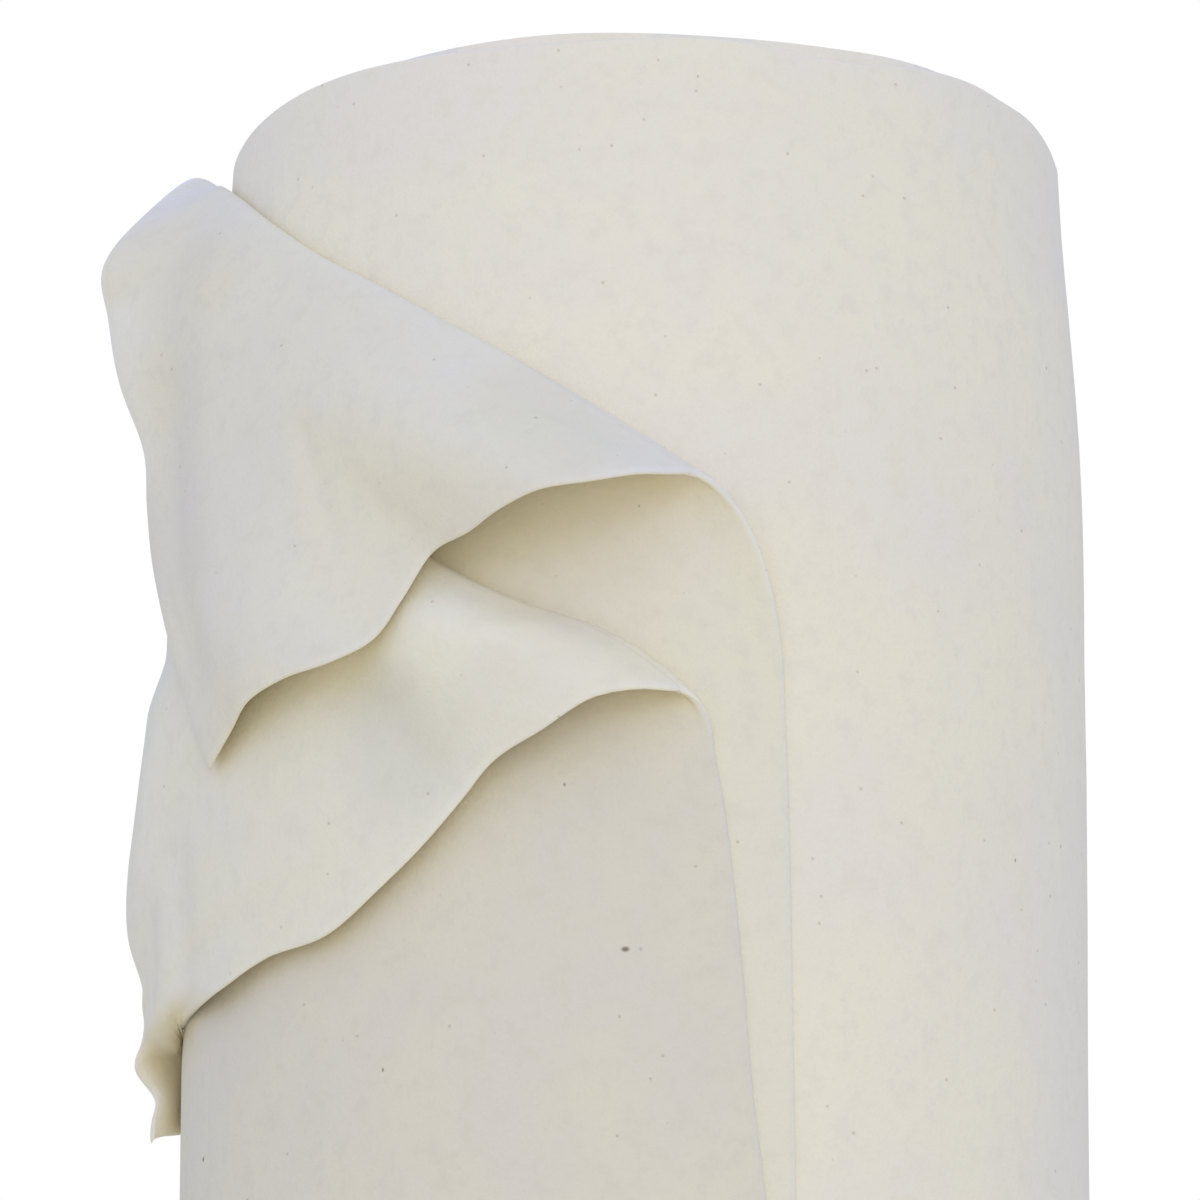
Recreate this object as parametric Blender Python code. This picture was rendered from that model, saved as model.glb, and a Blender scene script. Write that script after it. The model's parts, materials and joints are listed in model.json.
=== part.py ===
"""A roll of natural cotton quilt batting, standing on its end.

The batting is doubled and wound into a soft roll. The two layers of its free end come round the left side to the
front, and the top corner of each is folded over, outwards and down to the left, one over the other. Sizes are in
metres. A place on the roll is given by its turn, in degrees from the front (negative to the left), its height, and its
gap, the distance out from the roll's surface.
"""

from collections import namedtuple

import bpy
import numpy as np

MM = 0.001

# The roll: 90 inch batting folded once is 45 inches wide, which is the height of the roll.
ROLL_HEIGHT = 1.143
ROLL_RADIUS = 0.180  # at the fullest part, beside the folds
BATTING_THICK = 3.0 * MM
LAYER_GAP = 0.8 * MM
DOUBLED_THICK = 2 * (BATTING_THICK + LAYER_GAP)  # one turn of the winding
SEAM_TURN = -170.0  # where the free end leaves the winding, at the back

# How far the radius falls short of ROLL_RADIUS at each height: the ends are softer than the middle.
PROFILE = np.array([
    (0.000, 5.5 * MM),
    (0.060, 3.0 * MM),
    (0.200, 1.6 * MM),
    (0.450, 1.6 * MM),
    (0.715, 3.3 * MM),
    (0.840, 1.3 * MM),
    (0.920, 0.1 * MM),
    (1.020, 0.0 * MM),
    (1.068, 2.4 * MM),
    (1.107, 4.8 * MM),
    (1.143, 6.2 * MM),
])

# How the free layers lie round the roll before they reach a fold.
FREE_FOOT = 0.5 * MM  # how far their lower edges hang clear of the floor
UNDER_GAP = LAYER_GAP + BATTING_THICK / 2
OUTER_GAP = UNDER_GAP + BATTING_THICK + LAYER_GAP
SLACK = 4.0 * MM  # how far the outer layer stands off on the left, below the folds
SLACK_TURN = -92.0
SLACK_SPREAD = 34.0
SLACK_TOP = 0.785
SLACK_FADE = 0.030
SLACK_ABOVE = 0.3
UNDER_SLACK_SHARE = 0.3

# One row for each section of a free layer, from the seam at the back to its cut edge at the front: the turn at which
# the section rises, the top of its fold, how far the fold lifts the flap, where the flap's raw edge ends, and how many
# degrees of the way there it swings round the side in its last stretch.
Section = namedtuple("Section", "foot crest_turn crest_height lift end_turn end_height end_gap swing")
UNDER_SECTIONS = np.array([
    (-169.8, -169.8, 1.131, 0 * MM, -169.8, 1.143, 2.3 * MM, 0),
    (-142.0, -143.0, 1.134, 1 * MM, -143.0, 1.148, 3 * MM, 0),
    (-120.0, -123.0, 1.143, 4 * MM, -124.0, 1.155, 7 * MM, 0),
    (-104.0, -109.0, 1.149, 6 * MM, -106.0, 1.157, 13 * MM, 0),
    (-92.0, -98.0, 1.147, 7 * MM, -92.0, 1.149, 19 * MM, 0),
    (-80.0, -84.0, 1.135, 7 * MM, -84.0, 1.122, 36 * MM, 0),
    (-66.0, -70.0, 1.116, 6 * MM, -79.0, 1.092, 52 * MM, 0),
    (-52.0, -56.0, 1.089, 5 * MM, -78.3, 1.068, 48 * MM, 0),
    (-40.0, -44.5, 1.065, 6 * MM, -76.2, 1.038, 42 * MM, 0),
    (-29.0, -34.0, 1.045, 8 * MM, -74.0, 1.008, 32 * MM, 0),
    (-19.0, -24.5, 1.025, 11 * MM, -73.3, 0.983, 30 * MM, 0),
    (-9.0, -15.5, 1.006, 14 * MM, -72.0, 0.957, 28 * MM, 0),
    (0.0, -7.5, 0.987, 18 * MM, -67.0, 0.920, 26 * MM, 0),
    (9.0, -0.5, 0.970, 23 * MM, -63.0, 0.894, 24.5 * MM, 0),
    (16.8, 4.8, 0.957, 29 * MM, -57.0, 0.863, 23.5 * MM, 0),
])
OUTER_SECTIONS = np.array([
    (-169.8, -169.8, 1.131, 0 * MM, -169.8, 1.143, 6.1 * MM, 0),
    (-158.0, -160.0, 1.133, 3 * MM, -161.0, 1.146, 9 * MM, 0),
    (-144.0, -148.0, 1.130, 6 * MM, -151.0, 1.128, 13 * MM, 0),
    (-128.0, -133.0, 1.115, 8 * MM, -139.0, 1.090, 15 * MM, 0),
    (-112.0, -117.0, 1.096, 8 * MM, -128.0, 1.045, 17 * MM, 0),
    (-96.0, -101.0, 1.070, 8 * MM, -117.0, 0.995, 19 * MM, 0),
    (-80.0, -85.0, 1.040, 8 * MM, -107.0, 0.942, 22 * MM, 0),
    (-66.0, -70.5, 1.012, 8 * MM, -98.0, 0.892, 26 * MM, 0),
    (-52.0, -57.0, 0.987, 8 * MM, -88.0, 0.845, 31 * MM, 0),
    (-39.0, -44.0, 0.964, 8 * MM, -84.5, 0.814, 31 * MM, 0),
    (-27.0, -32.0, 0.943, 8 * MM, -80.5, 0.792, 25.5 * MM, 0),
    (-17.0, -22.0, 0.922, 8 * MM, -80.5, 0.783, 25.5 * MM, 0),
    (-9.0, -14.0, 0.908, 9 * MM, -90.5, 0.7775, 26 * MM, -10),
    (-2.0, -6.5, 0.898, 11 * MM, -95.0, 0.770, 29 * MM, -14),
    (4.0, -0.5, 0.885, 14 * MM, -98.5, 0.757, 26 * MM, -16),
    (7.5, 3.8, 0.873, 16 * MM, -98.5, 0.738, 28 * MM, -15),
])

# The turn of each layer's cut edge at each height as it rises.
UNDER_RISING_EDGE = np.array([
    (0.000, 17.5),
    (0.450, 17.3),
    (0.800, 17.1),
    (0.875, 16.8),
])
OUTER_RISING_EDGE = np.array([
    (0.000, 16.0),
    (0.450, 15.6),
    (0.685, 14.2),
    (0.757, 11.7),
    (0.815, 9.1),
    (0.855, 7.8),
])

# The same edge as it runs along the flap, from the fold to the loose corner: turn, height and gap.
UNDER_FLAP_EDGE = np.array([
    (4.8, 0.957, 17 * MM),
    (1.9, 0.953, 30 * MM),
    (-0.6, 0.950, 40 * MM),
    (-5.3, 0.945, 48 * MM),
    (-9.9, 0.942, 50 * MM),
    (-14.0, 0.937, 45 * MM),
    (-17.8, 0.932, 36 * MM),
    (-23.6, 0.928, 24 * MM),
    (-27.2, 0.912, 23 * MM),
    (-30.4, 0.897, 26 * MM),
    (-34.5, 0.890, 31 * MM),
    (-40.6, 0.886, 34 * MM),
    (-46.1, 0.881, 33 * MM),
    (-50.5, 0.874, 28 * MM),
    (-57.0, 0.863, 23.5 * MM),
])
OUTER_FLAP_EDGE = np.array([
    (3.8, 0.873, 15 * MM),
    (2.2, 0.872, 20 * MM),
    (-0.7, 0.871, 26 * MM),
    (-4.8, 0.868, 29 * MM),
    (-11.1, 0.856, 26 * MM),
    (-17.1, 0.846, 20 * MM),
    (-21.1, 0.834, 15.5 * MM),
    (-25.3, 0.821, 13 * MM),
    (-31.9, 0.804, 13 * MM),
    (-39.2, 0.790, 13 * MM),
    (-49.1, 0.785, 14 * MM),
    (-56.2, 0.779, 15 * MM),
    (-64.5, 0.772, 17.5 * MM),
    (-69.0, 0.767, 22 * MM),
    (-73.0, 0.757, 25 * MM),
    (-76.0, 0.747, 27 * MM),
    (-80.0, 0.7405, 28 * MM),
    (-89.0, 0.739, 28 * MM),
    (-98.5, 0.738, 28 * MM),
])

# How a flap lies between its fold and its raw edge.
EDGE_REACH = 0.070  # how far the waves of a cut edge reach into its cloth
FLAP_SETTLE = 5.0  # how fast the outer flap comes down from its fold to rest
OUTER_REST = 13 * MM
UNDER_FLARE = 1.25  # how late along the flap its raw edge begins to stand out
OUTER_FLARE = 1.3
SWING_FROM = 0.85
BEND_RISE = 0.6  # the height of the bend at a fold, for its lift
UNDER_EDGE_RISE = 0.066  # how much sooner the cut edge leaves the roll
OUTER_EDGE_RISE = 0.008
PRESS_HEIGHT = 0.920  # above it the under flap holds the outer one in
PRESS_FADE = 0.015
PRESSED_SHARE = 0.35

# Where the corner of the outer flap tucks in, under a last crease. Only its raw edge still stands out.
TUCK_LINE = ((-64.5, 0.7722), (-83.0, 0.7805))
TUCK_FADE = 4 * MM
TUCK_GAP = 13.5 * MM
TUCK_MARGIN = 0.06

# Solid mesh fineness.
ROLL_SIDES = 90
RIM_ROUND = 1 * MM
LOW_HEIGHTS = (0.0, 0.03, 0.09, 0.20, 0.32, 0.45, 0.62, 0.70, 0.77, 0.84)
HIGH_HEIGHTS = (0.90, 0.96, 1.02, 1.05, 1.08, 1.11)
STANDING_KNOTS = 6
RISE_STEPS = 5
FLAP_SHARES = np.array(
    [0.03, 0.08, 0.14, 0.21, 0.29, 0.37, 0.46, 0.55, 0.64, 0.72, 0.79, 0.85, 0.89, 0.925, 0.95, 0.975, 1.0]
)
SECTION_COUNT = 38
SECTION_CROWDING = 1.3  # the sections stand closer towards the cut edge

COTTON = (0.80, 0.77, 0.69, 1.0)


def clear_scene():
    for obj in list(bpy.data.objects):
        bpy.data.objects.remove(obj, do_unlink=True)


def smooth_at(keys, values, at):
    """The values at new keys, read from a smooth curve through the given ones."""
    keys = np.asarray(keys, float)
    values = np.asarray(values, float)
    at = np.clip(np.asarray(at, float), keys[0], keys[-1])
    slopes = np.gradient(values, keys, axis=0)
    low = np.clip(np.searchsorted(keys, at, side="right") - 1, 0, len(keys) - 2)
    step = keys[low + 1] - keys[low]
    share = (at - keys[low]) / step
    if values.ndim > 1:
        share = share[..., None]
        step = step[..., None]
    square = share * share
    cube = square * share
    return (
        (2 * cube - 3 * square + 1) * values[low]
        + (cube - 2 * square + share) * step * slopes[low]
        + (3 * square - 2 * cube) * values[low + 1]
        + (cube - square) * step * slopes[low + 1]
    )


def smooth_step(value):
    value = np.clip(value, 0.0, 1.0)
    return value * value * (3 - 2 * value)


def roll_radius(turn, height):
    """The winding's surface: its soft profile, growing by one doubled layer with each turn."""
    short = smooth_at(PROFILE[:, 0], PROFILE[:, 1], height)
    return ROLL_RADIUS - short + DOUBLED_THICK * np.asarray(turn) / 360


def place(turn, height, gap):
    """The point at a turn, a height and a gap from the roll's surface."""
    radius = roll_radius(turn, height) + gap
    angle = np.radians(turn)
    return np.stack([radius * np.sin(angle), -radius * np.cos(angle), np.asarray(height, float)], axis=-1)


def slack_at(turn, height):
    """How far the outer free layer stands off from lying tight."""
    across = np.exp(-(((turn - SLACK_TURN) / SLACK_SPREAD) ** 2))
    above = smooth_step((height - SLACK_TOP + SLACK_FADE) / (2 * SLACK_FADE))
    return SLACK * across * (1 - (1 - SLACK_ABOVE) * above)


def tucked(flap, shares):
    """A section of the flap, drawn in towards the roll where it lies below the last crease."""
    (turn_a, height_a), (turn_b, height_b) = TUCK_LINE
    line = height_a + (height_b - height_a) * (flap[:, 0] - turn_a) / (turn_b - turn_a)
    below = smooth_step((line - flap[:, 1]) / TUCK_FADE)
    inner = smooth_step((1 - shares) / TUCK_MARGIN)
    flap[:, 2] += (TUCK_GAP - flap[:, 2]) * below * inner
    return flap


class FreeLayer:
    """One layer of the free end: it stands against the roll, turns over a slanting fold, and hangs as a flap."""

    def __init__(self, sections, rising_edge, flap_edge, tight_gap, slack_share, edge_rise, flare, is_outer):
        self.sections = sections
        self.rising_edge = rising_edge
        self.tight_gap = tight_gap
        self.slack_share = slack_share
        self.edge_rise = edge_rise
        self.flare = flare
        self.is_outer = is_outer
        self.first_foot = sections[0, 0]
        self.last_foot = sections[-1, 0]
        along = np.diff(flap_edge * (np.radians(1) * ROLL_RADIUS, 1, 1), axis=0)
        lengths = np.concatenate([[0], np.cumsum(np.linalg.norm(along, axis=1))])
        self.flap_edge_shares = lengths / lengths[-1]
        self.flap_edge = flap_edge

    def edge_influence(self, foot):
        """How much of the cut edge's own shape a section this far from it follows."""
        away = (self.last_foot - foot) * np.radians(1) * ROLL_RADIUS
        return np.exp(-((away / EDGE_REACH) ** 2))

    def standing_gap(self, turn, height):
        return self.tight_gap + self.slack_share * slack_at(turn, height)

    def rising_turn(self, foot, height):
        course = smooth_at(self.rising_edge[:, 0], self.rising_edge[:, 1], height)
        return foot + (course - self.last_foot) * self.edge_influence(foot)

    def even_flap(self, section, shares):
        """The flap's turn, height and gap at shares of the way from its fold to its raw edge."""
        straight = section.end_turn - section.swing - section.crest_turn
        turn = section.crest_turn + straight * shares
        turn = turn + section.swing * smooth_step((shares - SWING_FROM) / (1 - SWING_FROM))
        height = section.crest_height + (section.end_height - section.crest_height) * shares
        start_gap = self.standing_gap(section.crest_turn, section.crest_height) + section.lift
        rest = min(OUTER_REST, start_gap, section.end_gap) if self.is_outer else start_gap
        pressed = smooth_step(0.5 + (height - PRESS_HEIGHT) / (2 * PRESS_FADE)) * self.is_outer
        flare = shares**self.flare * (1 - (1 - PRESSED_SHARE) * pressed)
        gap = rest + (start_gap - rest) * np.exp(-FLAP_SETTLE * shares) + (section.end_gap - rest) * flare
        return np.stack([turn, height, gap], axis=-1)

    def standing_knots(self, foot, lean_height):
        """The part of a section that stands against the roll."""
        between = np.linspace(LOW_HEIGHTS[-1], lean_height, STANDING_KNOTS + 1)[1:-1]
        height = np.concatenate([[FREE_FOOT], LOW_HEIGHTS[1:], between])
        turn = self.rising_turn(foot, height)
        return np.stack([turn, height, self.standing_gap(turn, height)], axis=-1)

    def fold_slope(self, foot):
        """How fast the fold rises round the roll beside a section. At the cut edge it is left out."""
        before, after = smooth_at(self.sections[:, 0], self.sections, (foot - 1, foot + 1))
        run = Section(*(after - before))
        return run.crest_height / run.crest_turn * (1 - self.edge_influence(foot))

    def bend_knots(self, foot, section, bend_height):
        """The quarter bend in which a section turns over into its fold, which it follows on the way."""
        angle = np.linspace(0, np.pi / 2, RISE_STEPS + 1)
        slope = self.fold_slope(foot)
        lean_height = section.crest_height + slope * (foot - section.crest_turn) - bend_height
        lean_turn = self.rising_turn(foot, lean_height)
        turn = lean_turn + (section.crest_turn - lean_turn) * (1 - np.cos(angle))
        fold_height = section.crest_height + slope * (turn - section.crest_turn)
        height = fold_height - bend_height * (1 - np.sin(angle))
        gap = self.standing_gap(turn, height) + section.lift / 2 * (1 - np.cos(angle))
        return np.stack([turn, height, gap], axis=-1)

    def flap_knots(self, foot, section):
        flap = self.even_flap(section, FLAP_SHARES)
        last = self.even_flap(Section(*self.sections[-1]), FLAP_SHARES)
        edge = smooth_at(self.flap_edge_shares, self.flap_edge, FLAP_SHARES)
        flap = flap + (edge - last) * self.edge_influence(foot)
        return tucked(flap, FLAP_SHARES) if self.is_outer else flap

    def column_knots(self, foot):
        """Turn, height and gap at the knots of one section, from the ground to the raw edge."""
        section = Section(*smooth_at(self.sections[:, 0], self.sections, foot))
        bend_height = BEND_RISE * section.lift + self.edge_rise * self.edge_influence(foot) + BATTING_THICK / 2
        bend = self.bend_knots(foot, section, bend_height)
        standing = self.standing_knots(foot, bend[0, 1])
        return np.concatenate([standing, bend, self.flap_knots(foot, section)])

    def surface(self):
        """A grid of points through the middle of the cloth, with a row for each section."""
        away = np.linspace(1, 0, SECTION_COUNT) ** SECTION_CROWDING
        feet = self.last_foot + (self.first_foot - self.last_foot) * away
        knots = [self.column_knots(foot) for foot in feet]
        return np.array([place(rows[:, 0], rows[:, 1], rows[:, 2]) for rows in knots])


UNDER_LAYER = FreeLayer(
    UNDER_SECTIONS, UNDER_RISING_EDGE, UNDER_FLAP_EDGE,
    tight_gap=UNDER_GAP, slack_share=UNDER_SLACK_SHARE,
    edge_rise=UNDER_EDGE_RISE, flare=UNDER_FLARE, is_outer=False,
)
OUTER_LAYER = FreeLayer(
    OUTER_SECTIONS, OUTER_RISING_EDGE, OUTER_FLAP_EDGE,
    tight_gap=OUTER_GAP, slack_share=1.0,
    edge_rise=OUTER_EDGE_RISE, flare=OUTER_FLARE, is_outer=True,
)


def cotton_material(name):
    material = bpy.data.materials.new(name)
    material.use_nodes = True
    shader = material.node_tree.nodes["Principled BSDF"]
    shader.inputs["Base Color"].default_value = COTTON
    shader.inputs["Roughness"].default_value = 0.95
    shader.inputs["Metallic"].default_value = 0.0
    return material


def mesh_object(name, points, faces):
    mesh = bpy.data.meshes.new(name)
    mesh.from_pydata([tuple(p) for p in points], [], [tuple(int(i) for i in f) for f in faces])
    mesh.validate()
    mesh.shade_smooth()
    mesh.materials.append(cotton_material(name))
    obj = bpy.data.objects.new(name, mesh)
    bpy.context.scene.collection.objects.link(obj)
    return obj


def wound_roll():
    """The winding as one solid: rings up its side, a step at the seam, and flat ends."""
    turns = np.linspace(SEAM_TURN, SEAM_TURN + 360, ROLL_SIDES + 1)
    heights = [*LOW_HEIGHTS, *HIGH_HEIGHTS, ROLL_HEIGHT - RIM_ROUND, ROLL_HEIGHT]
    heights.insert(1, RIM_ROUND)
    rings = []
    for height in heights:
        at_end = height in (0, ROLL_HEIGHT)
        rings.append(place(turns, np.full(len(turns), height), -RIM_ROUND * at_end))
    points = list(np.concatenate(rings))
    count = len(turns)
    faces = []
    for ring in range(len(rings) - 1):
        for side in range(count):
            a = ring * count + side
            b = ring * count + (side + 1) % count
            faces.append((a, b, b + count, a + count))
    top = (len(rings) - 1) * count
    points.append((0, 0, 0))
    points.append((0, 0, ROLL_HEIGHT))
    for side in range(count):
        after = (side + 1) % count
        faces.append((len(points) - 2, after, side))
        faces.append((len(points) - 1, top + side, top + after))
    return mesh_object("wound_roll", points, faces)


def free_layer(name, layer):
    """A free layer of batting as one closed sheet."""
    grid = layer.surface()
    across, up = grid.shape[:2]
    faces = []
    for i in range(across - 1):
        for j in range(up - 1):
            a = i * up + j
            faces.append((a, a + up, a + up + 1, a + 1))
    obj = mesh_object(name, grid.reshape(-1, 3), faces)
    solidify = obj.modifiers.new("Thickness", "SOLIDIFY")
    solidify.thickness = BATTING_THICK
    solidify.offset = 0.0
    return obj


def main():
    clear_scene()
    wound_roll()
    free_layer("under_layer", UNDER_LAYER)
    free_layer("outer_layer", OUTER_LAYER)


main()
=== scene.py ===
"""Looks of the roll of natural cotton quilt batting: three soft pieces, their material, and a plain studio.

Sizes are in metres. A place on the roll is given by its turn, in degrees from the front (negative to the left),
its height, and its gap, the distance out from the roll's surface.
"""

import json
import math
from collections import namedtuple

import bmesh
import bpy
import numpy as np
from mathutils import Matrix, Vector, noise

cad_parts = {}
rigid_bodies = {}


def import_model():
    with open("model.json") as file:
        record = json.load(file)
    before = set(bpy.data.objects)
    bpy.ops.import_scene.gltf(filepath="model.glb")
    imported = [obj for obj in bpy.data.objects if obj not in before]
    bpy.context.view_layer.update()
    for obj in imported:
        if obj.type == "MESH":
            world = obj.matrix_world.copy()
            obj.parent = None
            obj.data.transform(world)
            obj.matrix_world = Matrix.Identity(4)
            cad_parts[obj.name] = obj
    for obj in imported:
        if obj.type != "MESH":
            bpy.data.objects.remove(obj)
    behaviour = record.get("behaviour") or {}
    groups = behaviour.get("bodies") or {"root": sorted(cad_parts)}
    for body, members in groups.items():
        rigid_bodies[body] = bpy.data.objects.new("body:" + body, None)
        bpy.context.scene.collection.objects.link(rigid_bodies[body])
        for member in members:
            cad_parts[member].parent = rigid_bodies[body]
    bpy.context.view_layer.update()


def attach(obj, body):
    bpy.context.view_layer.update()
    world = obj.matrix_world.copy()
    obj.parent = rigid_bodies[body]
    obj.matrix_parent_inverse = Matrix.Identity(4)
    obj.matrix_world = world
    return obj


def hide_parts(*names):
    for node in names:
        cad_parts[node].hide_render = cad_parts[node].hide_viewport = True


MM = 0.001

# The roll, as in the solids.
ROLL_HEIGHT = 1.143
ROLL_RADIUS = 0.180
DEGREE_ARC = math.radians(1) * ROLL_RADIUS  # the length of one degree of its surface
BATTING_THICK = 3.0 * MM
DOUBLED_THICK = 7.6 * MM  # what one loose turn of doubled batting adds to the radius
SEAM_TURN = -170.0

# How far the radius falls short of ROLL_RADIUS at each height.
PROFILE = np.array([
    (0.000, 5.5 * MM),
    (0.060, 3.0 * MM),
    (0.200, 1.6 * MM),
    (0.450, 1.6 * MM),
    (0.715, 3.3 * MM),
    (0.840, 1.3 * MM),
    (0.920, 0.1 * MM),
    (1.020, 0.0 * MM),
    (1.068, 2.4 * MM),
    (1.107, 4.8 * MM),
    (1.143, 6.2 * MM),
])

# How the free layers lie round the roll: closer together than in the solids, with the same slack on the left.
LAYER_GAP = 0.3 * MM
UNDER_GAP = LAYER_GAP + BATTING_THICK / 2
OUTER_GAP = UNDER_GAP + BATTING_THICK + LAYER_GAP
FREE_FOOT = 0.5 * MM  # how high their lower edges are off the floor
SLACK = 4.0 * MM
SLACK_TURN = -92.0
SLACK_SPREAD = 34.0
SLACK_TOP = 0.785  # the height at which the slack falls to its share above, and over how far
SLACK_FADE = 0.030
SLACK_ABOVE = 0.3
UNDER_SLACK_SHARE = 0.3

# One row for each section of a free layer, from the seam at the back to its cut edge at the front.
Section = namedtuple("Section", "foot crest_turn crest_height lift end_turn end_height end_gap swing")
UNDER_SECTIONS = np.array([
    (-170.0, -170.0, 1.131, 0 * MM, -170.0, 1.143, 2.3 * MM, 0),
    (-142.0, -143.0, 1.134, 1 * MM, -143.0, 1.148, 3 * MM, 0),
    (-120.0, -123.0, 1.143, 4 * MM, -124.0, 1.155, 7 * MM, 0),
    (-104.0, -109.0, 1.149, 6 * MM, -106.0, 1.157, 13 * MM, 0),
    (-92.0, -98.0, 1.147, 7 * MM, -92.0, 1.149, 19 * MM, 0),
    (-80.0, -84.0, 1.135, 7 * MM, -84.0, 1.122, 36 * MM, 0),
    (-66.0, -70.0, 1.116, 6 * MM, -79.0, 1.092, 52 * MM, 0),
    (-52.0, -56.0, 1.089, 5 * MM, -78.3, 1.068, 48 * MM, 0),
    (-40.0, -44.5, 1.065, 6 * MM, -76.2, 1.038, 42 * MM, 0),
    (-29.0, -34.0, 1.045, 8 * MM, -74.0, 1.008, 32 * MM, 0),
    (-19.0, -24.5, 1.025, 11 * MM, -73.3, 0.983, 30 * MM, 0),
    (-9.0, -15.5, 1.006, 14 * MM, -72.0, 0.957, 28 * MM, 0),
    (0.0, -7.5, 0.987, 18 * MM, -67.0, 0.920, 26 * MM, 0),
    (9.0, -0.5, 0.970, 23 * MM, -63.0, 0.894, 24.5 * MM, 0),
    (16.8, 4.8, 0.957, 29 * MM, -57.0, 0.863, 23.5 * MM, 0),
])
OUTER_SECTIONS = np.array([
    (-170.0, -170.0, 1.131, 0 * MM, -170.0, 1.143, 6.1 * MM, 0),
    (-158.0, -160.0, 1.133, 3 * MM, -161.0, 1.146, 9 * MM, 0),
    (-144.0, -148.0, 1.130, 6 * MM, -151.0, 1.128, 13 * MM, 0),
    (-128.0, -133.0, 1.115, 8 * MM, -139.0, 1.090, 15 * MM, 0),
    (-112.0, -117.0, 1.096, 8 * MM, -128.0, 1.045, 17 * MM, 0),
    (-96.0, -101.0, 1.070, 8 * MM, -117.0, 0.995, 19 * MM, 0),
    (-80.0, -85.0, 1.040, 8 * MM, -107.0, 0.942, 22 * MM, 0),
    (-66.0, -70.5, 1.012, 8 * MM, -98.0, 0.892, 26 * MM, 0),
    (-52.0, -57.0, 0.987, 8 * MM, -88.0, 0.845, 31 * MM, 0),
    (-39.0, -44.0, 0.964, 8 * MM, -84.5, 0.814, 31 * MM, 0),
    (-27.0, -32.0, 0.943, 8 * MM, -82.5, 0.7925, 25.5 * MM, 0),
    (-17.0, -22.0, 0.922, 8 * MM, -84.0, 0.784, 25 * MM, -1),
    (-9.0, -14.0, 0.908, 9 * MM, -86.0, 0.777, 24 * MM, -3),
    (-2.0, -6.5, 0.898, 11 * MM, -87.5, 0.7655, 24 * MM, -4),
    (4.0, -0.5, 0.885, 14 * MM, -88.0, 0.7506, 22 * MM, -4),
    (7.5, 3.8, 0.873, 16 * MM, -86.0, 0.7325, 22 * MM, -2.5),
])

# The turn of each layer's cut edge at each height as it rises.
UNDER_RISING_EDGE = np.array([
    (0.000, 18.2),
    (0.450, 18.0),
    (0.760, 17.8),
    (0.830, 17.4),
    (0.875, 16.9),
])
OUTER_RISING_EDGE = np.array([
    (0.000, 16.0),
    (0.450, 15.6),
    (0.685, 14.0),
    (0.728, 12.4),
    (0.757, 11.7),
    (0.785, 10.9),
    (0.815, 9.9),
    (0.838, 8.9),
    (0.857, 7.8),
])

# The same edge along the flap, from the fold to the loose corner: turn, height and gap.
UNDER_FLAP_EDGE = np.array([
    (4.8, 0.957, 17 * MM),
    (1.9, 0.953, 30 * MM),
    (-0.6, 0.950, 40 * MM),
    (-5.3, 0.945, 48 * MM),
    (-9.9, 0.942, 50 * MM),
    (-14.0, 0.937, 45 * MM),
    (-17.8, 0.932, 36 * MM),
    (-23.6, 0.928, 24 * MM),
    (-27.2, 0.912, 23 * MM),
    (-30.4, 0.897, 26 * MM),
    (-34.5, 0.890, 31 * MM),
    (-40.6, 0.886, 34 * MM),
    (-46.1, 0.881, 33 * MM),
    (-50.5, 0.874, 28 * MM),
    (-57.0, 0.863, 23.5 * MM),
])
OUTER_FLAP_EDGE = np.array([
    (3.8, 0.873, 15 * MM),
    (2.2, 0.872, 20 * MM),
    (-0.7, 0.871, 26 * MM),
    (-4.8, 0.868, 29 * MM),
    (-11.1, 0.856, 26 * MM),
    (-17.1, 0.846, 20 * MM),
    (-20.9, 0.8335, 17.5 * MM),
    (-25.0, 0.8205, 15.5 * MM),
    (-31.6, 0.8035, 15 * MM),
    (-38.9, 0.7895, 14.5 * MM),
    (-48.9, 0.785, 15 * MM),
    (-56.0, 0.779, 16 * MM),
    (-64.5, 0.772, 17.5 * MM),
    (-68.0, 0.766, 19 * MM),
    (-71.5, 0.756, 20 * MM),
    (-75.5, 0.746, 21 * MM),
    (-80.0, 0.740, 21.5 * MM),
    (-86.0, 0.7325, 22 * MM),
])

# How a flap lies between its fold and its raw edge.
EDGE_REACH = 0.070  # how far from the cut edge the flap follows that edge's own shape
FLAP_SETTLE = 5.0  # how quickly it comes down from the fold to its rest
OUTER_REST = 13 * MM
UNDER_FLARE = 1.25  # how late it stands off again, towards its raw edge
OUTER_FLARE = 1.3
SWING_FROM = 0.85  # the share of the flap from which its end swings aside
BEND_RISE = 0.6  # the height of the bend into the fold, as a share of the fold's lift
SLOPE_SPAN = 1.0  # degrees to either side over which the fold's slope is read
UNDER_EDGE_RISE = 0.066  # how much lower the bend begins at the cut edge
OUTER_EDGE_RISE = 0.008
RISE_REACH = 0.032  # how far from the cut edge it still does
PRESS_HEIGHT = 0.920  # above it the upper flap presses on the lower one
PRESS_FADE = 0.015
PRESSED_SHARE = 0.35

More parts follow.
